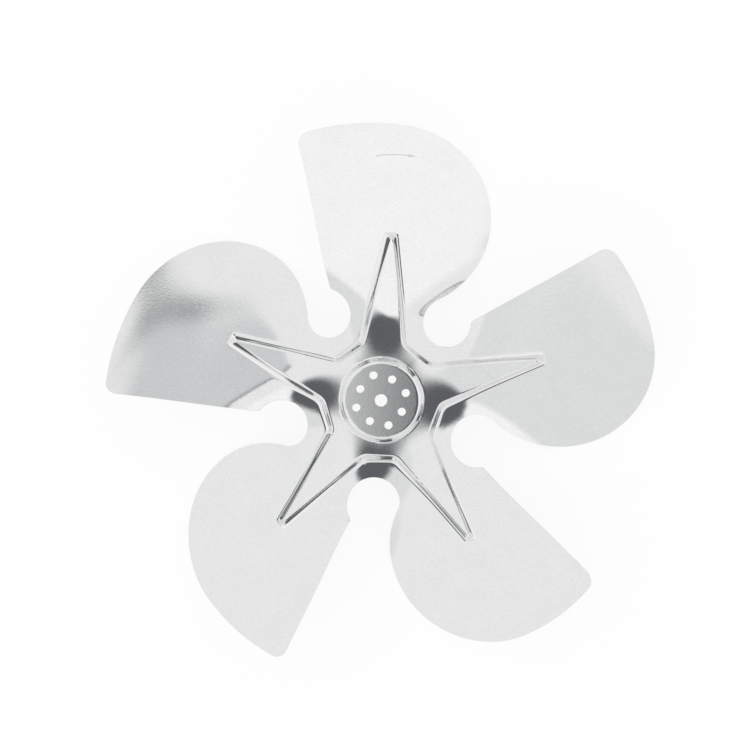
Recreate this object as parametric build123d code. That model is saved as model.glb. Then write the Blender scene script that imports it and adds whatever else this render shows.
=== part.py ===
from build123d import *
import math
import os

# Five-bladed axial fan impeller, pressed from one aluminium sheet.
# The fan axis is Z, and the flat top of the hub boss is at Z = 0.
# Air leaves towards +Z. The sector that is drawn here has its middle along +Y, and angles in it
# are clockwise from +Y, seen from above. Lengths are in millimetres and angles in degrees.

# Sheet and layout
sheet = 1.2
blade_count = 5
bend_radius = 1.0

# Plan of a blade: a tip arc, a round leading lobe that is tangent to it at the fan circle, a straight
# trailing edge, and a round notch between each two blades that is tangent to the lobe
tip_radius = 150.0
tip_arc_share = 0.76
lobe_share = 1.0 / 3.0
notch_radius = 13.4
notch_floor_radius = 42.7
trailing_edge_offset = 13.9
trailing_edge_lean = 15.0
tip_corner_radius = 7.0
root_corner_radius = 2.5

# Star panel, sunk into the hub and the blade roots, with one arm on each blade
panel_depth = 3.6
panel_wall_width = 2.8
panel_corner_distance = 32.0
panel_leading_angle = 16.7
panel_trailing_angle = -21.4
panel_arm_length = 88.5
panel_arm_shift = -1.5
panel_arm_end = 1.2
panel_corner_radius = 4.0

# Hub boss inside the star, with a shaft hole and two rings of screw holes
boss_radius = 21.1
boss_height = 3.2
boss_wall_angle = 55.0
shaft_hole_radius = 3.3
screw_hole_radius = 2.1
screw_count = 4
outer_screw_circle_radius = 14.25
outer_screw_angle = -21.1
inner_screw_circle_radius = 13.0
inner_screw_angle = 23.9

# Control rows of the pressed surface around the hub: distance from the axis, lift, wave crest
hub_lift = panel_depth - boss_height
hub_rows = ((16.0, hub_lift, 0.0), (26.0, hub_lift, 0.0), (36.0, hub_lift, 0.3), (46.0, hub_lift, 4.3))
# Control rows along a blade: distance from the axis, lift, slope and camber
tip_row = tip_radius + 8.0
blade_rows = ((76.0, -1.1, 0.98, 0.0016), (112.0, -10.9, 0.29, 0.0020), (tip_row, 1.2, 0.62, 0.0015))
blade_pitch = 30.0

# Angles by which the cutting blocks pass the sides of a sector, and heights by which they pass the sheet
half_sector = 180.0 / blade_count
upper_margin = 1.0
lower_margin = 2.0
pocket_margin = 0.5
clear_height = 4.0 * tip_radius
panel_headroom = 15.0

# Places of the control columns across a sector, and how close counts as touching
columns = (-1.0, -1.0 / 3.0, 1.0 / 3.0, 1.0)
near = 0.005
seam_tolerance = 0.01


def polar(radius, angle):
    turn = math.radians(angle)
    return Vector(radius * math.sin(turn), radius * math.cos(turn))


def in_plan(point):
    return Vector(point.X, point.Y)


def unraised(point):
    return 0.0


def sunk(point):
    return -panel_depth


# The pressed surface


def wave_heights(lift, crest, flare):
    """Heights across the hub: a wave that crosses its mean at the middle of both notches."""
    seam = math.tan(math.radians(half_sector))
    gain = crest * 1.5 * math.sqrt(3.0) / seam ** 3
    edge = gain * (seam ** 2 * flare - flare ** 3)
    inner = gain * (seam ** 2 * flare / 3.0 + flare ** 3)
    return [lift + edge, lift + inner, lift - inner, lift - edge]


def blade_heights(reach, lift, slope, camber):
    """Heights across a blade: a pitched line, bowed to a parabola."""
    bow = camber * reach ** 2
    bows = (bow, -bow / 3.0, -bow / 3.0, bow)
    return [lift - slope * place * reach + rise for place, rise in zip(columns, bows)]


def surface_rows(thickness, margin, raised):
    """Control points of the hub and blade patches, lowered by a sheet thickness and raised by a rule."""
    flare = math.tan(math.radians(half_sector + margin))
    plumb = thickness / math.cos(math.radians(blade_pitch))

    def control_row(distance, heights):
        row = []
        for place, height in zip(columns, heights):
            spot = Vector(place * distance * flare, distance)
            row.append(spot + Vector(0, 0, height + raised(spot)))
        return row

    hub = []
    for index, (distance, lift, crest) in enumerate(hub_rows):
        fall = thickness + (plumb - thickness) * index / len(hub_rows)
        hub.append(control_row(distance, wave_heights(lift - fall, crest, flare)))
    blade = [hub[-1], [2.0 * last - before for last, before in zip(hub[-1], hub[-2])]]
    for distance, lift, slope, camber in blade_rows:
        heights = blade_heights(distance * flare, lift - plumb, slope, camber)
        blade.append(control_row(distance, heights))
    return hub, blade


def surface_block(thickness, margin, level, raised):
    """Solid between the surface and a level plane."""
    hub, blade = surface_rows(thickness, margin, raised)

    def level_point(point):
        return Vector(point.X, point.Y, level)

    def upright_face(edges, start, end):
        legs = [
            Edge.make_line(end, level_point(end)),
            Edge.make_line(level_point(end), level_point(start)),
            Edge.make_line(level_point(start), start),
        ]
        return Face(Wire(edges + legs))

    faces = [Face.make_bezier_surface(hub), Face.make_bezier_surface(blade)]
    for column in (0, -1):
        hub_edge = Edge.make_bezier(*[row[column] for row in hub])
        blade_edge = Edge.make_bezier(*[row[column] for row in blade])
        faces.append(upright_face([hub_edge, blade_edge], hub[0][column], blade[-1][column]))
    for row in (hub[0], blade[-1]):
        faces.append(upright_face([Edge.make_bezier(*row)], row[0], row[-1]))
    corners = [hub[0][0], blade[-1][0], blade[-1][-1], hub[0][-1]]
    faces.append(Face(Wire.make_polygon([level_point(corner) for corner in corners])))
    return Solid(Shell(faces))


# The star panel and the boss


def star_walls(thickness):
    """Height rules of the star's walls over the surface: three for the arm and two for the hub."""
    trailing = polar(panel_corner_distance, panel_trailing_angle)
    leading = polar(panel_corner_distance, panel_leading_angle)
    end_left = Vector(panel_arm_shift - panel_arm_end / 2.0, panel_arm_length)
    end_right = Vector(panel_arm_shift + panel_arm_end / 2.0, panel_arm_length)
    before = leading.rotate(Axis.Z, 2.0 * half_sector)
    after = trailing.rotate(Axis.Z, -2.0 * half_sector)
    steepness = panel_depth / panel_wall_width
    pitch = math.tan(math.radians(blade_pitch))
    plumb = thickness / math.cos(math.radians(blade_pitch))

    def wall(start, end, slope, fall):
        along = (end - start).normalized()
        outward = Vector(-along.Y, along.X)
        extra = thickness * math.hypot(1.0, slope) - fall
        return lambda point: (in_plan(point) - start).dot(outward) * steepness - panel_depth - extra

    arm = [
        wall(trailing, end_left, steepness + pitch, plumb),
        wall(end_left, end_right, steepness, plumb),
        wall(end_right, leading, steepness - pitch, plumb),
    ]
    hub = [wall(before, trailing, steepness, thickness), wall(leading, after, steepness, thickness)]
    return arm, hub


def star_pocket(thickness, margin):
    """Space over the sunk panel, with its inward corners rounded in plan."""
    arm_walls, hub_walls = star_walls(thickness)
    spaces = []
    for walls in (arm_walls, hub_walls):
        blocks = [surface_block(thickness, margin, clear_height, rule) for rule in walls]
        space = blocks[0]
        for block in blocks[1:]:
            space = space & block
        spaces.append(space)
    pocket = (spaces[0] + spaces[1]) & surface_block(thickness, margin, clear_height, sunk)
    pocket = pocket & Box(2.0 * tip_radius, 2.0 * tip_radius, 2.0 * panel_headroom)
    pocket = pocket - Cylinder(boss_radius, clear_height)

    def at_corner(point):
        arm = max(rule(point) for rule in arm_walls)
        hub = max(rule(point) for rule in hub_walls)
        return abs(arm - hub) < sheet and in_plan(point).length < panel_arm_length

    corners = [edge for edge in pocket.edges() if at_corner(edge.position_at(0.5))]
    uprights = [edge for edge in corners if edge.bounding_box().size.Z > panel_depth]
    return fillet(uprights, panel_corner_radius - thickness)


def boss_wedge(thickness, margin):
    """One sector of the frustum under the boss's outer face, or under its inner face."""
    slope = math.radians(boss_wall_angle)
    top = boss_radius - thickness * math.tan(slope / 2.0)
    foot = top + panel_headroom / math.tan(slope)
    floor = -thickness - panel_headroom
    profile = [(0, 0, -thickness), (top, 0, -thickness), (foot, 0, floor), (0, 0, floor)]
    frustum = revolve(Face(Wire.make_polygon([Vector(corner) for corner in profile])), Axis.Z)
    plan = [Vector(0, 0), polar(tip_radius, half_sector + margin), polar(tip_radius, -half_sector - margin)]
    return frustum & extrude(Face(Wire.make_polygon(plan)), clear_height, dir=(0, 0, 1), both=True)


def pressed_block(thickness, margin):
    """Solid under the sheet's upper face, or under its lower face, with every bend rounded."""
    arm_walls, hub_walls = star_walls(thickness)
    boss_hole = Pos(0, 0, -boss_height) * Cylinder(
        boss_radius, clear_height, align=(Align.CENTER, Align.CENTER, Align.MIN)
    )
    block = surface_block(thickness, margin, -clear_height, unraised)
    block = block - star_pocket(thickness, margin + pocket_margin)
    block = block - boss_hole + boss_wedge(thickness, margin)
    patches = [Face.make_bezier_surface(rows) for rows in surface_rows(thickness, margin, unraised)]
    slope = math.radians(boss_wall_angle)
    boss_top = boss_radius - thickness * math.tan(slope / 2.0)
    boss_foot = boss_top + boss_height / math.tan(slope)

    def depth(point):
        plumb_line = Axis(in_plan(point) + Vector(0, 0, clear_height), (0, 0, -1))
        for patch in patches:
            hits = patch.find_intersection_points(plumb_line)
            if hits:
                return hits[0][0].Z - point.Z
        return clear_height

    def star_height(point):
        return min(max(rule(point) for rule in arm_walls), max(rule(point) for rule in hub_walls))

    def at_foot(point):
        outside = in_plan(point).length > boss_foot + bend_radius
        beside = abs(star_height(point) + panel_depth) < sheet
        return outside and beside and abs(depth(point) - panel_depth) < near

    def at_rim(point):
        return abs(star_height(point)) < sheet and abs(depth(point)) < near

    def at_boss_foot(point):
        return abs(in_plan(point).length - boss_foot) < sheet and abs(depth(point) - panel_depth) < near

    def at_boss_top(point):
        return abs(in_plan(point).length - boss_top) < near and abs(point.Z + thickness) < near

    inside_bend = bend_radius + thickness
    outside_bend = bend_radius + sheet - thickness
    for belongs, radius in (
        (at_boss_foot, inside_bend),
        (at_boss_top, outside_bend),
        (at_foot, inside_bend),
        (at_rim, outside_bend),
    ):
        block = fillet([edge for edge in block.edges() if belongs(edge.position_at(0.5))], radius)
    return block


# The blank


def sector_blank():
    """Prism on the plan of one sector, from the shaft hole out to the tip."""
    lobe_radius = lobe_share * tip_radius
    lobe_centre_radius = tip_radius - lobe_radius
    tip_arc_radius = tip_arc_share * tip_radius
    notch_centre_radius = notch_floor_radius + notch_radius
    span = lobe_radius + notch_radius
    squares = lobe_centre_radius ** 2 + notch_centre_radius ** 2 - span ** 2
    spread = math.degrees(math.acos(squares / (2.0 * lobe_centre_radius * notch_centre_radius)))
    lobe_angle = half_sector - spread
    axis_point = Vector(0, 0)
    lobe_centre = polar(lobe_centre_radius, lobe_angle)
    tip_centre = polar(tip_radius - tip_arc_radius, lobe_angle)
    tip_join = polar(tip_radius, lobe_angle)
    leading_notch = polar(notch_centre_radius, half_sector)
    trailing_notch = polar(notch_centre_radius, -half_sector)
    lobe_join = lobe_centre + (leading_notch - lobe_centre).normalized() * lobe_radius

    lean = math.radians(trailing_edge_lean)
    along = Vector(-math.sin(lean), math.cos(lean))
    edge_foot = Vector(-math.cos(lean), -math.sin(lean)) * trailing_edge_offset

    def far_crossing(centre, radius):
        to_centre = centre - edge_foot
        halfway = to_centre.dot(along)
        half_chord = math.sqrt(radius ** 2 - (to_centre.dot(to_centre) - halfway ** 2))
        return edge_foot + along * (halfway + half_chord)

    tip_corner = far_crossing(tip_centre, tip_arc_radius)
    root_corner = far_crossing(trailing_notch, notch_radius)

    def arc(centre, first, last):
        middle = ((first - centre).normalized() + (last - centre).normalized()).normalized()
        return Edge.make_three_point_arc(first, centre + middle * (first - centre).length, last)

    trailing_floor = polar(notch_floor_radius, -half_sector)
    leading_floor = polar(notch_floor_radius, half_sector)
    trailing_hole = polar(shaft_hole_radius, -half_sector)
    leading_hole = polar(shaft_hole_radius, half_sector)
    outline = Wire([
        arc(axis_point, leading_hole, trailing_hole),
        Edge.make_line(trailing_hole, trailing_floor),
        arc(trailing_notch, trailing_floor, root_corner),
        Edge.make_line(root_corner, tip_corner),
        arc(tip_centre, tip_corner, tip_join),
        arc(lobe_centre, tip_join, lobe_join),
        arc(leading_notch, lobe_join, leading_floor),
        Edge.make_line(leading_floor, leading_hole),
    ])
    plan = Face(outline)
    for corner, radius in ((tip_corner, tip_corner_radius), (root_corner, root_corner_radius)):
        plan = plan.fillet_2d(radius, [plan.vertices().sort_by_distance(corner)[0]])
    return extrude(plan, tip_radius, dir=(0, 0, 1), both=True)


def punch(radius, place):
    return Pos(place) * Cylinder(radius, clear_height)


# The fan: one sector, repeated around the axis, and then the holes
sector =(pressed_block(0.0, upper_margin) & sector_blank()) - pressed_block(sheet, lower_margin)
copies = [Rotation(0, 0, -2.0 * half_sector * turn) * sector for turn in range(1, blade_count)]
fan_blade = sector.fuse(*copies, tol=seam_tolerance)
for circle, first_angle in (
    (outer_screw_circle_radius, outer_screw_angle),
    (inner_screw_circle_radius, inner_screw_angle),
):
    for index in range(screw_count):
        place = polar(circle, first_angle + 360.0 * index / screw_count)
        fan_blade = fan_blade - punch(screw_hole_radius, place)

os.makedirs("parts", exist_ok=True)
export_step(fan_blade, "parts/fan_blade.step")
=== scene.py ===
# %% [markdown]
# A pressed aluminium fan blade.
# The object is a five-bladed impeller for a small motor. One flat blank of aluminium sheet is cut to
# the outline, punched, and pressed between two dies. So its shape is a rule: a smooth surface that is
# pitched on the blades and level at the hub, with a star pressed down into it and a round boss left
# standing in the middle. This lesson writes that rule down, meshes one fifth of the plan finely enough
# for clean reflections, and lets Geometry Nodes repeat it around the axis.

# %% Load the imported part
import math
import bpy
import numpy as np
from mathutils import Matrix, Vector
from mathutils.geometry import delaunay_2d_cdt


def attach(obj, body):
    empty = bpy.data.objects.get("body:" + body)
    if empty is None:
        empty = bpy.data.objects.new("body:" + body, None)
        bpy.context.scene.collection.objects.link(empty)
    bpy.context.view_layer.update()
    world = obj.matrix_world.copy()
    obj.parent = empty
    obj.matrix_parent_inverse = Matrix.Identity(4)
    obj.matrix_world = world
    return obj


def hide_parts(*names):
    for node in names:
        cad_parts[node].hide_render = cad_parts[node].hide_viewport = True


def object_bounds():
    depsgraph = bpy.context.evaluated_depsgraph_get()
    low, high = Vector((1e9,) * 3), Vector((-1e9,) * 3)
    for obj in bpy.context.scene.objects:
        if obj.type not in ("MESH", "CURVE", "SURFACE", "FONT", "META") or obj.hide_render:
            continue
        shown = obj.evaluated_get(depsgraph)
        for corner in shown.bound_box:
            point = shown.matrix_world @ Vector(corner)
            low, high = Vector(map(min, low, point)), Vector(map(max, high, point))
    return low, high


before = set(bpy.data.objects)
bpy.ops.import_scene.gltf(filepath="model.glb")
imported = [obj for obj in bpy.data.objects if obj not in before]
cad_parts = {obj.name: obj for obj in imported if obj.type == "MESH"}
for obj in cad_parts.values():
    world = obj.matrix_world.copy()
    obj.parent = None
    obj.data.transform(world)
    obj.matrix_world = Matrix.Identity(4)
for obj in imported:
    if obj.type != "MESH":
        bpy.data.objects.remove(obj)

cad_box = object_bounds()
print("CAD box in metres:", [[round(value, 4) for value in corner] for corner in cad_box])

# %% [markdown]
# Sizes.
# They are in millimetres and degrees, as on a drawing. Angles run clockwise from +Y, seen from above.
# The first sector's blade points along +Y, Z is the fan axis, and the flat top of the boss is Z = 0.

# %% Sizes of the fan
sheet = 1.2
blade_count = 5
tip_radius = 150.0
tip_arc_radius = 114.0
lobe_radius = 50.0
notch_radius = 13.4
notch_floor_radius = 42.7
trailing_edge_offset = 13.9
trailing_edge_lean = 15.0
tip_corner_radius = 7.0
root_corner_radius = 2.5
panel_depth = 3.6
panel_wall_width = 2.8
panel_corner_distance = 32.0
panel_leading_angle = 16.7
panel_trailing_angle = -21.4
panel_arm_length = 88.5
panel_arm_shift = -1.5
panel_arm_end = 1.2
boss_radius = 21.1
boss_height = 3.2
boss_wall_angle = 55.0
shaft_hole_radius = 3.3
screw_hole_radius = 2.1
screw_count = 4
screw_rings = ((14.25, -21.1), (13.0, 23.9))
half_sector = 180.0 / blade_count
seam = math.tan(math.radians(half_sector))
print("one sector spans", 2.0 * half_sector, "degrees")

# %% [markdown]
# The pressed surface.
# The sheet's upper face is a height over the plan. Around the hub it is a gentle wave that rises
# behind each notch and falls before the next one. Along a blade it turns into a pitched, cambered
# strip. Both parts are Bezier surfaces, so a height is a weighted sum of a few control rows, and the
# two parts share their first rows, which makes them run into each other without a crease.

# %% The surface as a rule
hub_lift = panel_depth - boss_height
hub_rows = ((16.0, hub_lift, 0.0), (26.0, hub_lift, 0.0), (36.0, hub_lift, 0.3), (46.0, hub_lift, 4.3))
blade_rows = ((76.0, -1.1, 0.98, 0.0016), (112.0, -10.9, 0.29, 0.0020), (158.0, 1.2, 0.62, 0.0015))


def weights(degree, share):
    return [math.comb(degree, k) * share ** k * (1.0 - share) ** (degree - k) for k in range(degree + 1)]


def wave(tangent):
    place = tangent / seam
    return 1.5 * math.sqrt(3.0) * place * (place ** 2 - 1.0)


def share_along(distances, y):
    """Solves for the Bezier share at which the control distances reach y."""
    degree = len(distances) - 1
    steps = np.diff(distances)
    share = np.clip((y - distances[0]) / (distances[-1] - distances[0]), 0.0, 1.0)
    for _ in range(20):
        reached = sum(w * d for w, d in zip(weights(degree, share), distances))
        rate = degree * sum(w * s for w, s in zip(weights(degree - 1, share), steps))
        share = np.clip(share - (reached - y) / rate, 0.0, 1.0)
    return share


def smooth_height(x, y):
    """Height of the plain surface, before the star and the boss are pressed into it."""
    y = np.maximum(y, hub_rows[0][0])
    tangent = x / y
    hub = [lift + crest * wave(tangent) for distance, lift, crest in hub_rows]
    blade = [hub[-1], 2.0 * hub[-1] - hub[-2]]
    for distance, lift, slope, camber in blade_rows:
        reach = distance * tangent
        blade.append(lift - slope * reach + camber * reach ** 2)
    hub_distances = [row[0] for row in hub_rows]
    join = hub_distances[-1]
    blade_distances = [join, 2.0 * join - hub_distances[-2]] + [row[0] for row in blade_rows]
    hub_height = sum(w * h for w, h in zip(weights(3, share_along(hub_distances, y)), hub))
    blade_height = sum(w * h for w, h in zip(weights(4, share_along(blade_distances, y)), blade))
    return np.where(y < join, hub_height, blade_height)


tip_height = float(smooth_height(np.array([0.0]), np.array([tip_radius]))[0])
print("height at the middle of a tip:", round(tip_height, 2), "mm")

# %% [markdown]
# The star and the boss.
# Each wall of the star is a straight ramp in plan: a number that is zero at the rim, and minus the
# depth at the foot. The larger of an arm's ramps, the smaller of arm and hub, and a clamp between
# the two levels give the whole star. A plain clamp would crease, while pressed sheet has round bends,
# so the minimum and the maximum are soft: they round off within a set height of each corner.

# %% Star walls and boss
rim_round = 1.35
foot_round = 0.65
corner_round = 2.8
arm_end_round = 1.2
boss_top_round = 1.26
boss_foot_round = 0.55
boss_flat_margin = 3.0
beside_boss = 27.0


def polar(radius, angle):
    turn = np.radians(angle)
    return np.array([radius * np.sin(turn), radius * np.cos(turn)])


def soft_minimum(first, second, reach):
    overlap = np.clip(reach - np.abs(first - second), 0.0, None)
    return np.minimum(first, second) - overlap ** 2 / (4.0 * reach)


def soft_maximum(first, second, reach):
    return -soft_minimum(-first, -second, reach)


leading_corner = polar(panel_corner_distance, panel_leading_angle)
trailing_corner = polar(panel_corner_distance, panel_trailing_angle)
corner_before = polar(panel_corner_distance, panel_leading_angle - 2.0 * half_sector)
corner_after = polar(panel_corner_distance, panel_trailing_angle + 2.0 * half_sector)
arm_end_left = np.array([panel_arm_shift - panel_arm_end / 2.0, panel_arm_length])
arm_end_right = np.array([panel_arm_shift + panel_arm_end / 2.0, panel_arm_length])
arm_walls = ((trailing_corner, arm_end_left), (arm_end_left, arm_end_right), (arm_end_right, leading_corner))
hub_walls = ((corner_before, trailing_corner), (leading_corner, corner_after))


def wall_frame(wall):
    start, end = wall
    along = (end - start) / np.linalg.norm(end - start)
    return start, along, np.array([-along[1], along[0]])


def wall_ramp(wall, x, y):
    start, along, outward = wall_frame(wall)
    distance = (x - start[0]) * outward[0] + (y - start[1]) * outward[1]
    return distance * panel_depth / panel_wall_width - panel_depth


def star_ramps(x, y):
    left, end, right = [wall_ramp(wall, x, y) for wall in arm_walls]
    arm = soft_maximum(soft_maximum(left, end, arm_end_round), right, arm_end_round)
    hub = np.maximum.reduce([wall_ramp(wall, x, y) for wall in hub_walls])
    return arm, hub


def pressed_height(x, y):
    """Height of the sheet's upper face in millimetres."""
    arm, hub = star_ramps(x, y)
    level = np.zeros_like(x)
    star = soft_minimum(soft_minimum(arm, hub, corner_round), level, rim_round)
    star = soft_maximum(star, level - panel_depth, foot_round)
    radius = np.hypot(x, y)
    cone = (boss_radius - radius) * math.tan(math.radians(boss_wall_angle))
    boss = soft_minimum(cone, level, boss_top_round)
    pressed = soft_maximum(smooth_height(x, y) + star, boss, boss_foot_round)
    return np.where(radius < boss_radius - boss_flat_margin, 0.0, pressed)


panel_level = float(pressed_height(np.array([0.0]), np.array([beside_boss]))[0])
print("panel level beside the boss:", round(panel_level, 2), "mm")

# %% [markdown]
# The plan of one sector.
# The outline is what the blanking die cuts: arcs and one straight edge, with two rounded corners. It
# is sampled into short steps, about as long as the mesh's triangles, so that curves look round.

# %% Outline of one sector
disc_radius = 18.0
edge_step = 0.8
seam_step = 0.45


def line_points(start, end, step):
    count = max(2, int(round(np.linalg.norm(end - start) / step)))
    shares = np.arange(count)[:, None] / count
    return start + (end - start) * shares


def arc_points(centre, start, end, step):
    first = np.arctan2(*(start - centre)[::-1])
    sweep = (np.arctan2(*(end - centre)[::-1]) - first + np.pi) % (2.0 * np.pi) - np.pi
    radius = np.linalg.norm(start - centre)
    count = max(2, int(round(abs(sweep) * radius / step)))
    angles = first + sweep * np.arange(count) / count
    return centre + radius * np.stack([np.cos(angles), np.sin(angles)], axis=1)


def sector_outline():
    lobe_distance = tip_radius - lobe_radius
    notch_distance = notch_floor_radius + notch_radius
    span = lobe_radius + notch_radius
    squares = lobe_distance ** 2 + notch_distance ** 2 - span ** 2
    lobe_angle = half_sector - math.degrees(math.acos(squares / (2.0 * lobe_distance * notch_distance)))
    lobe = polar(lobe_distance, lobe_angle)
    tip_centre = polar(tip_radius - tip_arc_radius, lobe_angle)
    notch_ahead = polar(notch_distance, half_sector)
    notch_behind = polar(notch_distance, -half_sector)
    lobe_end = lobe + (notch_ahead - lobe) * lobe_radius / span
    lean = math.radians(trailing_edge_lean)
    along = np.array([-math.sin(lean), math.cos(lean)])
    inward = np.array([math.cos(lean), math.sin(lean)])
    foot = -trailing_edge_offset * inward

    def round_corner(centre, reach, corner_radius):
        """Centre of a round corner between the straight edge and a circle, and its end on the edge."""
        base = foot + corner_radius * inward
        to_centre = centre - base
        middle = to_centre.dot(along)
        run = middle + math.sqrt(reach ** 2 - (to_centre.dot(to_centre) - middle ** 2))
        return base + along * run, foot + along * run

    inner_reach = tip_arc_radius - tip_corner_radius
    tip_round, tip_line_end = round_corner(tip_centre, inner_reach, tip_corner_radius)
    tip_arc_start = tip_centre + (tip_round - tip_centre) * tip_arc_radius / inner_reach
    outer_reach = notch_radius + root_corner_radius
    root_round, root_line_start = round_corner(notch_behind, outer_reach, root_corner_radius)
    notch_end = notch_behind + (root_round - notch_behind) * notch_radius / outer_reach
    floor_behind = polar(notch_floor_radius, -half_sector)
    floor_ahead = polar(notch_floor_radius, half_sector)
    disc_behind = polar(disc_radius, -half_sector)
    disc_ahead = polar(disc_radius, half_sector)
    return np.concatenate([
        line_points(disc_behind, floor_behind, seam_step),
        arc_points(notch_behind, floor_behind, notch_end, edge_step),
        arc_points(root_round, notch_end, root_line_start, edge_step / 2.0),
        line_points(root_line_start, tip_line_end, edge_step),
        arc_points(tip_round, tip_line_end, tip_arc_start, edge_step),
        arc_points(tip_centre, tip_arc_start, polar(tip_radius, lobe_angle), edge_step),
        arc_points(lobe, polar(tip_radius, lobe_angle), lobe_end, edge_step),
        arc_points(notch_ahead, lobe_end, floor_ahead, edge_step),
        line_points(floor_ahead, disc_ahead, seam_step),
        arc_points(np.zeros(2), disc_ahead, disc_behind, edge_step),
    ])


outline = sector_outline()
print("outline points:", len(outline))

# %% [markdown]
# Points inside the outline.
# A reflective sheet shows every badly placed triangle, so the points follow the form: rows along each
# wall of the star, close together across its bends, rings around the boss, and an even grid between
# them. A point is taken only where it keeps its distance from those that are there already. Delaunay
# triangulation then joins them. Triangles outside the outline are dropped, and so are slivers without
# an area, which come up between points on one straight edge and would keep the seams open.

# %% Points that follow the form
wall_rows = (-0.9, -0.45, -0.1, 0.25, 0.65, 1.1, 1.6, 2.0, 2.35, 2.7, 3.1, 3.6, 4.2)
boss_rings = (19.4, 19.9, 20.4, 20.9, 21.5, 22.2, 22.8, 23.25, 23.7, 24.2, 24.9, 25.8)
row_step = 1.1
grid_step = 2.0
wall_overrun = 4.0
wall_clearance = 0.28
ring_clearance = 0.4
grid_clearance = 0.95
sliver_area = 0.0001


def inside(points, loop):
    """Even-odd test of which points lie inside a closed loop."""
    after = np.roll(loop, -1, axis=0)
    odd = np.zeros(len(points), bool)
    for (x0, y0), (x1, y1) in zip(loop, after):
        crosses = (y0 > points[:, 1]) != (y1 > points[:, 1])
        if y1 != y0:
            at = x0 + (points[:, 1] - y0) * (x1 - x0) / (y1 - y0)
            odd ^= crosses & (points[:, 0] < at)
    return odd


def wall_points(wall):
    start, along, outward = wall_frame(wall)
    length = np.linalg.norm(wall[1] - wall[0])
    places = np.arange(-wall_overrun, length + wall_overrun, row_step)
    rows = [start + along * places[:, None] + outward * offset for offset in wall_rows]
    points = np.concatenate(rows)
    arm, hub = star_ramps(points[:, 0], points[:, 1])
    own = wall_ramp(wall, points[:, 0], points[:, 1])
    return points[np.abs(np.minimum(arm, hub) - own) < corner_round / 2.0]


def ring_points(radius):
    angles = np.radians(np.arange(-half_sector, half_sector, math.degrees(row_step / radius)))
    return radius * np.stack([np.sin(angles), np.cos(angles)], axis=1)


def grid_points(low, high, step):
    rows = np.arange(low[1], high[1], step * math.sqrt(3.0) / 2.0)
    points = []
    for index, y in enumerate(rows):
        xs = np.arange(low[0] + (index % 2) * step / 2.0, high[0], step)
        points.append(np.stack([xs, np.full(len(xs), y)], axis=1))
    return np.concatenate(points)


def spaced(kept, candidates, clearance):
    """Adds the candidates that keep their distance from every point taken so far."""
    cells = {}
    for point in kept:
        cells.setdefault((int(point[0] // clearance), int(point[1] // clearance)), []).append(point)
    for point in candidates:
        column = int(point[0] // clearance)
        row = int(point[1] // clearance)
        near = []
        for i in (column - 1, column, column + 1):
            for j in (row - 1, row, row + 1):
                near.extend(cells.get((i, j), []))
        if all((point[0] - q[0]) ** 2 + (point[1] - q[1]) ** 2 > clearance ** 2 for q in near):
            cells.setdefault((column, row), []).append(point)
            kept.append(point)
    return kept


def sector_points():
    walls = np.concatenate([wall_points(wall) for wall in arm_walls + hub_walls])
    rings = np.concatenate([ring_points(radius) for radius in boss_rings])
    grid = grid_points(outline.min(axis=0), outline.max(axis=0), grid_step)
    taken = [tuple(point) for point in outline]
    for candidates, clearance in ((walls, wall_clearance), (rings, ring_clearance), (grid, grid_clearance)):
        allowed = candidates[inside(candidates, outline)]
        taken = spaced(taken, [tuple(point) for point in allowed], clearance)
    return np.array(taken)


def triangulate(points, loops):
    """Triangles between the first loop and the others, which are holes, wound to face upwards."""
    edges = []
    first = 0
    for loop in loops:
        count = len(loop)
        edges += [(first + k, first + (k + 1) % count) for k in range(count)]
        first += count
    corners = [Vector((float(x), float(y))) for x, y in points]
    placed, _, faces, _, _, _ = delaunay_2d_cdt(corners, edges, [], 0, 1e-6)
    placed = np.array([(corner.x, corner.y) for corner in placed])
    faces = np.array([list(face) for face in faces])
    a, b, c = placed[faces[:, 0]], placed[faces[:, 1]], placed[faces[:, 2]]
    turn = (b[:, 0] - a[:, 0]) * (c[:, 1] - a[:, 1]) - (b[:, 1] - a[:, 1]) * (c[:, 0] - a[:, 0])
    faces[turn < 0.0] = faces[turn < 0.0][:, ::-1]
    middles = (a + b + c) / 3.0
    keep = inside(middles, loops[0]) & (np.abs(turn) > 2.0 * sliver_area)
    for hole in loops[1:]:
        keep &= ~inside(middles, hole)
    return placed, faces[keep]


sector_plan, sector_faces = triangulate(sector_points(), [outline])
print("sector:", len(sector_plan), "points,", len(sector_faces), "triangles")

# %% [markdown]
# The sheet's thickness.
# Pressed sheet keeps its thickness across every bend, so the lower face is the upper one moved back
# along its normal. The rule gives the normal from two small steps in plan. The blanking die cuts
# straight down, so close to the outline the points move straight down instead, and the cut edge
# between the faces stands plumb. A narrow chamfer on each of its sides stands for the deburring. The
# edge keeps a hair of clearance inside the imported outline, which is made of short chords.

# %% Upper face, lower face and cut edge
chamfer = 0.18
edge_clearance = 0.04
blend_width = 3.0
slope_step = 0.02
seam_tolerance = 0.0001
floor_tolerance = 0.01


def upward(plan):
    """Vectors square to the upper face, one unit high."""
    x, y = plan[:, 0], plan[:, 1]
    slope_x = (pressed_height(x + slope_step, y) - pressed_height(x - slope_step, y)) / (2.0 * slope_step)
    slope_y = (pressed_height(x, y + slope_step) - pressed_height(x, y - slope_step)) / (2.0 * slope_step)
    return np.column_stack([-slope_x, -slope_y, np.ones_like(x)])


def face_points(plan, depth):
    """Points at a depth below the upper face, measured along its normal."""
    normals = upward(plan)
    normals /= np.linalg.norm(normals, axis=1)[:, None]
    return np.column_stack([plan, pressed_height(plan[:, 0], plan[:, 1])]) - depth * normals


def plumb_points(plan, depth):
    """Points at the same depth that stay plumb below the outline, as the blanking die cuts them."""
    drop = depth * np.linalg.norm(upward(plan), axis=1)
    return np.column_stack([plan, pressed_height(plan[:, 0], plan[:, 1]) - drop])


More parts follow.
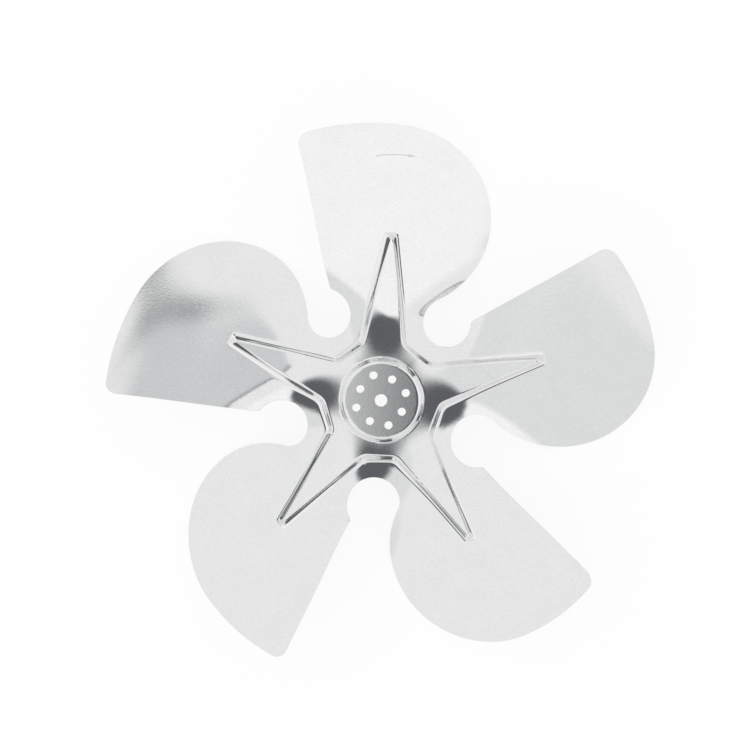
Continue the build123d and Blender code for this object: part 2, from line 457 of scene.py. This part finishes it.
def cut_edges(plan, faces, joined):
    """Edges of the triangles that have nothing on their outer side, apart from those that get joined."""
    count = {}
    for triangle in faces:
        for k in range(3):
            pair = (int(triangle[k]), int(triangle[(k + 1) % 3]))
            count[pair] = count.get(pair, 0) + 1
    return [pair for pair in count if (pair[1], pair[0]) not in count and not joined(plan[list(pair)])]


def sheet_object(name, plan, faces, joined):
    """A piece of the sheet, in metres, closed all round except where it joins its neighbours."""
    rim = cut_edges(plan, faces, joined)
    outward = {}
    for first, second in rim:
        along = plan[second] - plan[first]
        side = np.array([along[1], -along[0]]) / np.linalg.norm(along)
        for corner in (first, second):
            outward[corner] = outward.get(corner, np.zeros(2)) + side
    rim_corners = sorted(outward)
    drawn_in = plan.copy()
    rim_plan = plan[rim_corners]
    for k, corner in enumerate(rim_corners):
        side = outward[corner] / np.linalg.norm(outward[corner])
        rim_plan[k] -= edge_clearance * side
        drawn_in[corner] -= (edge_clearance + chamfer) * side
    total = len(plan)
    from_rim = np.full(total, blend_width)
    for corner in rim_corners:
        from_rim = np.minimum(from_rim, np.linalg.norm(plan - plan[corner], axis=1))
    share = (from_rim / blend_width)[:, None]
    lower = share * face_points(drawn_in, sheet) + (1.0 - share) * plumb_points(drawn_in, sheet)
    levels = [face_points(drawn_in, 0.0), lower]
    levels += [plumb_points(rim_plan, chamfer), plumb_points(rim_plan, sheet - chamfer)]
    at = {corner: 2 * total + k for k, corner in enumerate(rim_corners)}
    below = len(rim_corners)
    quads = []
    for first, second in rim:
        quads.append((first, at[first], at[second], second))
        quads.append((at[first], at[first] + below, at[second] + below, at[second]))
        quads.append((at[first] + below, first + total, second + total, at[second] + below))
    triangles = faces.tolist() + (faces[:, ::-1] + total).tolist()
    mesh = bpy.data.meshes.new(name)
    mesh.from_pydata((np.concatenate(levels) / 1000.0).tolist(), [], triangles + quads)
    piece = bpy.data.objects.new(name, mesh)
    bpy.context.scene.collection.objects.link(piece)
    return piece


def on_seam(points):
    angles = np.degrees(np.arctan2(points[:, 0], points[:, 1]))
    radii = np.hypot(points[:, 0], points[:, 1])
    beside = np.all(np.abs(np.abs(angles) - half_sector) < seam_tolerance)
    within = np.all(radii < notch_floor_radius + floor_tolerance)
    return (beside and within) or np.all(np.abs(radii - disc_radius) < seam_tolerance)


sector = sheet_object("sector", sector_plan, sector_faces, on_seam)
print("sector mesh:", len(sector.data.polygons), "faces")

# %% [markdown]
# The drilled disc.
# The screw holes come in fours, so they can't be repeated with the five blades. The flat middle of the
# boss is meshed by itself, with its rim on the same points as the inner ends of the sectors.

# %% Flat disc with its holes
shaft_hole_steps = 48
screw_hole_steps = 32
disc_clearance = 0.9


def circle_points(centre, radius, count):
    angles = 2.0 * np.pi * np.arange(count) / count
    return centre + radius * np.stack([np.sin(angles), np.cos(angles)], axis=1)


axis_point = np.zeros(2)
arc_start = polar(disc_radius, half_sector)
arc_end = polar(disc_radius, -half_sector)
inner_arc = arc_points(axis_point, arc_start, arc_end, edge_step)
half_turn = math.radians(half_sector)
to_seam = np.array([[math.cos(half_turn), -math.sin(half_turn)], [math.sin(half_turn), math.cos(half_turn)]])
disc_rim = circle_points(axis_point, disc_radius, len(inner_arc) * blade_count) @ to_seam
holes = [circle_points(axis_point, shaft_hole_radius, shaft_hole_steps)]
for ring_radius, first_angle in screw_rings:
    for index in range(screw_count):
        centre = polar(ring_radius, first_angle + 360.0 * index / screw_count)
        holes.append(circle_points(centre, screw_hole_radius, screw_hole_steps))
disc_loops = [disc_rim] + holes
disc_taken = [tuple(point) for point in np.concatenate(disc_loops)]
disc_grid = grid_points(disc_rim.min(axis=0), disc_rim.max(axis=0), grid_step)
disc_grid = disc_grid[np.hypot(disc_grid[:, 0], disc_grid[:, 1]) < disc_radius - grid_step / 2.0]
for hole in holes:
    disc_grid = disc_grid[~inside(disc_grid, hole)]
disc_points = np.array(spaced(disc_taken, [tuple(point) for point in disc_grid], disc_clearance))
disc_plan, disc_faces = triangulate(disc_points, disc_loops)
disc = sheet_object("disc", disc_plan, disc_faces, on_seam)
print("disc:", len(disc_faces), "triangles and", len(holes), "holes")

# %% [markdown]
# Colours and nodes.
# Colours are written as they look on a screen, in hex, and one function turns them into the linear
# values that Blender works in. One more function adds a node, sets it and links it.

# %% Helpers for materials and node trees
def linear(hex_colour):
    values = []
    for k in (1, 3, 5):
        value = int(hex_colour[k:k + 2], 16) / 255.0
        values.append(value / 12.92 if value <= 0.04045 else ((value + 0.055) / 1.055) ** 2.4)
    return (*values, 1.0)


def add_node(tree, kind, settings=None, inputs=None):
    """Adds a node. An input is a value, or a pair of a node and the name or index of its output."""
    node = tree.nodes.new(kind)
    for name, value in (settings or {}).items():
        setattr(node, name, value)
    for key, value in (inputs or {}).items():
        if isinstance(value, tuple) and isinstance(value[0], bpy.types.Node):
            tree.links.new(value[0].outputs[value[1]], node.inputs[key])
        else:
            node.inputs[key].default_value = value
    return node


def new_material(name):
    material = bpy.data.materials.new(name)
    material.use_nodes = True
    material.node_tree.nodes.clear()
    return material


print("white is", linear("#FFFFFF"))

# %% [markdown]
# Mill finish aluminium.
# Sheet comes off the rolls bright and nearly white, with a fine grain along the rolling direction. It
# is too slight to read as lines: it breaks reflections up into a fine mottle, with grains 0.8 mm wide
# and 1.8 mm long. Wider clouds of handling marks change the tone a little. Both are noise in Object
# coordinates, and dividing 1000 by a size in millimetres gives the scale, because coordinates are in
# metres.

# %% Aluminium sheet
grain_width = 0.8
grain_length = 1.8
cloud_size = 14.0
cloud_share = 0.3


def aluminium_sheet():
    material = new_material("mill finish aluminium sheet")
    tree = material.node_tree
    place = add_node(tree, "ShaderNodeTexCoord")
    stretch = (1000.0 / grain_length, 1000.0 / grain_width, 1000.0 / grain_length)
    rolled = add_node(tree, "ShaderNodeMapping", inputs={"Vector": (place, "Object"), "Scale": stretch})
    grain = add_node(tree, "ShaderNodeTexNoise", inputs={"Vector": (rolled, 0), "Scale": 1.0, "Detail": 3.0})
    clouds = add_node(tree, "ShaderNodeTexNoise",
                      inputs={"Vector": (place, "Object"), "Scale": 1000.0 / cloud_size, "Detail": 2.0})
    mottle = add_node(tree, "ShaderNodeMath", {"operation": "MULTIPLY_ADD"},
                      {0: (clouds, 0), 1: cloud_share, 2: (grain, 0)})
    tone = add_node(tree, "ShaderNodeMapRange", {"data_type": "FLOAT_VECTOR"},
                    {"Vector": (mottle, 0), 7: (0.4, 0.4, 0.4), 8: (0.9, 0.9, 0.9),
                     9: linear("#ECECEC")[:3], 10: linear("#F6F6F5")[:3]})
    rough = add_node(tree, "ShaderNodeMapRange",
                     inputs={"Value": (grain, 0), "From Min": 0.25, "From Max": 0.75,
                             "To Min": 0.07, "To Max": 0.12})
    bump = add_node(tree, "ShaderNodeBump",
                    inputs={"Height": (grain, 0), "Strength": 0.05, "Distance": 0.0002})
    metal = add_node(tree, "ShaderNodeBsdfPrincipled",
                     inputs={"Base Color": (tone, "Vector"), "Metallic": 1.0, "Roughness": (rough, 0),
                             "Normal": (bump, 0)})
    add_node(tree, "ShaderNodeOutputMaterial", inputs={"Surface": (metal, 0)})
    return material


aluminium = aluminium_sheet()
print("made", aluminium.name)

# %% [markdown]
# Five blades from one sector.
# The tree turns copies of the sector about the axis, joins the disc, merges the points along the
# seams, and sets the material.

# %% Repeat the sector
merge_distance = 0.00002
sharp_angle = 24.0


def fan_tree():
    tree = bpy.data.node_groups.new("fan from one sector", "GeometryNodeTree")
    face = tree.interface
    face.new_socket("Sector", in_out="INPUT", socket_type="NodeSocketGeometry")
    face.new_socket("Blade Count", in_out="INPUT", socket_type="NodeSocketInt")
    face.new_socket("Disc", in_out="INPUT", socket_type="NodeSocketObject")
    face.new_socket("Metal", in_out="INPUT", socket_type="NodeSocketMaterial")
    face.new_socket("Fan", in_out="OUTPUT", socket_type="NodeSocketGeometry")
    given = add_node(tree, "NodeGroupInput")
    points = add_node(tree, "GeometryNodePoints", inputs={"Count": (given, "Blade Count")})
    index = add_node(tree, "GeometryNodeInputIndex")
    step = add_node(tree, "ShaderNodeMath", {"operation": "DIVIDE"},
                    {0: -2.0 * math.pi, 1: (given, "Blade Count")})
    angle = add_node(tree, "ShaderNodeMath", {"operation": "MULTIPLY"}, {0: (index, 0), 1: (step, 0)})
    turn = add_node(tree, "FunctionNodeAxisAngleToRotation",
                    inputs={"Axis": (0.0, 0.0, 1.0), "Angle": (angle, 0)})
    copies = add_node(tree, "GeometryNodeInstanceOnPoints",
                      inputs={"Points": (points, 0), "Instance": (given, "Sector"), "Rotation": (turn, 0)})
    real = add_node(tree, "GeometryNodeRealizeInstances", inputs={0: (copies, 0)})
    middle = add_node(tree, "GeometryNodeObjectInfo", inputs={"Object": (given, "Disc")})
    joined = add_node(tree, "GeometryNodeJoinGeometry", inputs={0: (real, 0)})
    tree.links.new(middle.outputs["Geometry"], joined.inputs[0])
    merged = add_node(tree, "GeometryNodeMergeByDistance",
                      inputs={"Geometry": (joined, 0), "Distance": merge_distance})
    smooth = add_node(tree, "GeometryNodeSetShadeSmooth", inputs={"Geometry": (merged, 0)})
    metal = add_node(tree, "GeometryNodeSetMaterial",
                     inputs={"Geometry": (smooth, 0), "Material": (given, "Metal")})
    add_node(tree, "NodeGroupOutput", inputs={0: (metal, 0)})
    return tree


def set_inputs(modifier, values):
    for item in modifier.node_group.interface.items_tree:
        if item.in_out == "INPUT" and item.name in values:
            modifier[item.identifier] = values[item.name]


repeat = sector.modifiers.new("repeat", "NODES")
repeat.node_group = fan_tree()
set_inputs(repeat, {"Blade Count": blade_count, "Disc": disc, "Metal": aluminium})
evaluated = sector.evaluated_get(bpy.context.evaluated_depsgraph_get())
fan_mesh = bpy.data.meshes.new_from_object(evaluated)
fan_mesh.name = "fan_sheet"
fan_mesh.set_sharp_from_angle(angle=math.radians(sharp_angle))
fan = bpy.data.objects.new("fan_sheet", fan_mesh)
bpy.context.scene.collection.objects.link(fan)
bpy.data.objects.remove(sector)
bpy.data.objects.remove(disc)
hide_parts("fan_blade")
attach(fan, "root")
fan_mesh.calc_loop_triangles()
print("fan sheet:", len(fan_mesh.vertices), "points,", len(fan_mesh.loop_triangles), "triangles")

# %% [markdown]
# The rotation arrow.
# Near the tip of one blade a small arrow is rolled into the sheet and shows which way the fan turns.
# It is a narrow bar along an arc, with a short head, that stands a hair above the blade and is sunk
# into it below. It is laid out in plan and lifted to the pressed height, so it follows the blade.

# %% Arrow on the first blade
arrow_start = np.array([-12.2, 131.8])
arrow_middle = np.array([-2.9, 133.7])
arrow_end = np.array([8.0, 133.8])
arrow_width = 0.55
arrow_head_length = 3.2
arrow_head_width = 1.8
arrow_tip_width = 0.1
arrow_proud = 0.02
arrow_sunk = 0.1
patch_size = 1.5


def circle_through(a, b, c):
    rows = np.array([2.0 * (b - a), 2.0 * (c - a)])
    return np.linalg.solve(rows, np.array([b.dot(b) - a.dot(a), c.dot(c) - a.dot(a)]))


def arrow_mesh():
    centre = circle_through(arrow_start, arrow_middle, arrow_end)
    path = arc_points(centre, arrow_start, arrow_end, edge_step)
    path = np.concatenate([path, arrow_end[None]])
    outward = (path - centre) / np.linalg.norm(path - centre, axis=1)[:, None]
    lengths = np.linalg.norm(path - arrow_end, axis=1)
    shares = np.clip(lengths / arrow_head_length, 0.0, 1.0)
    widths = np.where(shares < 1.0, np.maximum(shares * arrow_head_width, arrow_tip_width), arrow_width)
    corners = []
    for side, rise in ((0.5, arrow_proud), (-0.5, arrow_proud), (-0.5, -arrow_sunk), (0.5, -arrow_sunk)):
        plan = path + side * outward * widths[:, None]
        corners.append(np.column_stack([plan, pressed_height(plan[:, 0], plan[:, 1]) + rise]))
    count = len(path)
    last = count - 1
    faces = [(3 * count, 2 * count, count, 0), (last, last + count, last + 2 * count, last + 3 * count)]
    for corner in range(4):
        here = corner * count
        after = (corner + 1) % 4 * count
        faces += [(here + k, after + k, after + k + 1, here + k + 1) for k in range(last)]
    mesh = bpy.data.meshes.new("rotation_arrow")
    mesh.from_pydata((np.concatenate(corners) / 1000.0).tolist(), [], faces)
    return mesh


def roll_marked_aluminium():
    material = new_material("roll-marked aluminium")
    tree = material.node_tree
    place = add_node(tree, "ShaderNodeTexCoord")
    patches = add_node(tree, "ShaderNodeTexNoise",
                       inputs={"Vector": (place, "Object"), "Scale": 1000.0 / patch_size, "Detail": 2.0})
    tone = add_node(tree, "ShaderNodeValToRGB", inputs={"Fac": (patches, 0)})
    tone.color_ramp.elements[0].color = linear("#DADBDB")
    tone.color_ramp.elements[1].color = linear("#E8E8E8")
    metal = add_node(tree, "ShaderNodeBsdfPrincipled",
                     inputs={"Base Color": (tone, 0), "Metallic": 1.0, "Roughness": 0.4})
    add_node(tree, "ShaderNodeOutputMaterial", inputs={"Surface": (metal, 0)})
    return material


arrow = bpy.data.objects.new("rotation_arrow", arrow_mesh())
bpy.context.scene.collection.objects.link(arrow)
arrow.data.materials.append(roll_marked_aluminium())
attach(arrow, "root")
print("arrow:", len(arrow.data.polygons), "faces")

# %% [markdown]
# Floor, light and camera.
# The fan lies face up on its five leading lobes, on a white table. Bare metal shows what is around it,
# so the room makes the picture. It is nearly white all round. A few round areas differ: a front wall,
# a bright window, a back wall with lit parts, which the left blade shows, and a dark panel overhead,
# which makes the dark patches around the hub. Later areas cover earlier ones. The floor is white to
# the camera and in reflections, keeps a faint shadow under the fan, and is clear from below, so that
# the underside can be looked at.

# %% White floor
floor_half = 1.6
floor_height = cad_box[0][2]
shadow_share = 0.15


def white_floor():
    material = new_material("white paper floor")
    tree = material.node_tree
    path = add_node(tree, "ShaderNodeLightPath")
    seen = add_node(tree, "ShaderNodeMath", {"operation": "MAXIMUM"},
                    {0: (path, "Is Camera Ray"), 1: (path, "Is Glossy Ray")})
    seen = add_node(tree, "ShaderNodeMath", {"operation": "MAXIMUM"},
                    {0: (seen, 0), 1: (path, "Is Transmission Ray")})
    share = add_node(tree, "ShaderNodeMath", {"operation": "MULTIPLY"},
                     {0: (seen, 0), 1: 1.0 - shadow_share})
    paper = add_node(tree, "ShaderNodeBsdfDiffuse", inputs={"Color": linear("#FFFFFF")})
    white = add_node(tree, "ShaderNodeEmission", inputs={"Color": linear("#FFFFFF"), "Strength": 1.0})
    upper = add_node(tree, "ShaderNodeMixShader", inputs={0: (share, 0), 1: (paper, 0), 2: (white, 0)})
    side = add_node(tree, "ShaderNodeNewGeometry")
    clear = add_node(tree, "ShaderNodeBsdfTransparent")
    both = add_node(tree, "ShaderNodeMixShader",
                    inputs={0: (side, "Backfacing"), 1: (upper, 0), 2: (clear, 0)})
    add_node(tree, "ShaderNodeOutputMaterial", inputs={"Surface": (both, 0)})
    return material


floor_mesh = bpy.data.meshes.new("floor")
floor_signs = ((-1, -1), (1, -1), (1, 1), (-1, 1))
floor_corners = [(x * floor_half, y * floor_half, floor_height) for x, y in floor_signs]
floor_mesh.from_pydata(floor_corners, [], [(0, 1, 2, 3)])
floor = bpy.data.objects.new("floor", floor_mesh)
bpy.context.scene.collection.objects.link(floor)
floor_mesh.materials.append(white_floor())
print("floor at", round(floor_height * 1000.0, 2), "mm")

# %% Room light
room_colour = "#F2F3F3"
# name, degrees to the right and up from straight overhead, inner and outer angle, colour
room_areas = (
    ("front wall", 17.0, -31.0, 30.0, 36.0, "#E6E7E8"),
    ("window on the right", 50.0, 6.0, 12.0, 34.0, "#FFFFFF"),
    ("back wall", 4.3, 66.0, 18.9, 19.8, "#A6A7A9"),
    ("lit part of the back wall", 5.5, 66.0, 15.0, 16.8, "#D3D4D6"),
    ("lit corner of the back wall", 20.0, 60.0, 5.0, 12.0, "#EDEEEE"),
    ("side wall", -32.0, 25.0, 36.2, 37.4, room_colour),
    ("dark panel overhead", 12.0, -4.0, 15.3, 24.6, "#606266"),
    ("edge of the window", 50.0, 6.0, 17.0, 24.0, "#FFFFFF"),
)


def sky_direction(right, up):
    tilt = math.radians(math.hypot(right, up))
    turn = math.atan2(up, right)
    return (math.sin(tilt) * math.cos(turn), math.sin(tilt) * math.sin(turn), math.cos(tilt))


def room_light():
    world = bpy.data.worlds.new("white room")
    world.use_nodes = True
    tree = world.node_tree
    tree.nodes.clear()
    path = add_node(tree, "ShaderNodeLightPath")
    place = add_node(tree, "ShaderNodeTexCoord")
    tone = add_node(tree, "ShaderNodeRGB")
    tone.outputs[0].default_value = linear(room_colour)
    last = (tone, 0)
    for name, right, up, inner, outer, colour in room_areas:
        toward = add_node(tree, "ShaderNodeVectorMath", {"operation": "DOT_PRODUCT"},
                          {0: (place, "Generated"), 1: sky_direction(right, up)})
        share = add_node(tree, "ShaderNodeMapRange", {"interpolation_type": "SMOOTHSTEP", "label": name},
                         {"Value": (toward, "Value"), "From Min": math.cos(math.radians(outer)),
                          "From Max": math.cos(math.radians(inner)), "To Min": 0.0, "To Max": 1.0})
        mixed = add_node(tree, "ShaderNodeMix", {"data_type": "RGBA"},
                         {0: (share, 0), 6: last, 7: linear(colour)})
        last = (mixed, 2)
    room = add_node(tree, "ShaderNodeBackground", inputs={"Color": last, "Strength": 1.0})
    white = add_node(tree, "ShaderNodeBackground", inputs={"Color": linear("#FFFFFF"), "Strength": 1.0})
    plain = add_node(tree, "ShaderNodeMath", {"operation": "MAXIMUM"},
                     {0: (path, "Is Camera Ray"), 1: (path, "Is Diffuse Ray")})
    seen = add_node(tree, "ShaderNodeMixShader", inputs={0: (plain, 0), 1: (room, 0), 2: (white, 0)})
    add_node(tree, "ShaderNodeOutputWorld", inputs={"Surface": (seen, 0)})
    return world


scene = bpy.context.scene
scene.world = room_light()
scene.view_settings.view_transform = "Standard"
print("room areas:", [area[0] for area in room_areas])

# %% Camera
camera_data = bpy.data.cameras.new("camera")
camera_data.lens = 65.21
camera_data.sensor_width = 36.0
camera = bpy.data.objects.new("camera", camera_data)
camera.location = (0.0964, 0.0602, 0.7344)
camera.rotation_euler = (math.radians(-3.015), math.radians(8.052), math.radians(4.242))
scene.collection.objects.link(camera)
scene.camera = camera
print("camera stands", round(camera.location.length, 3), "m from the hub")
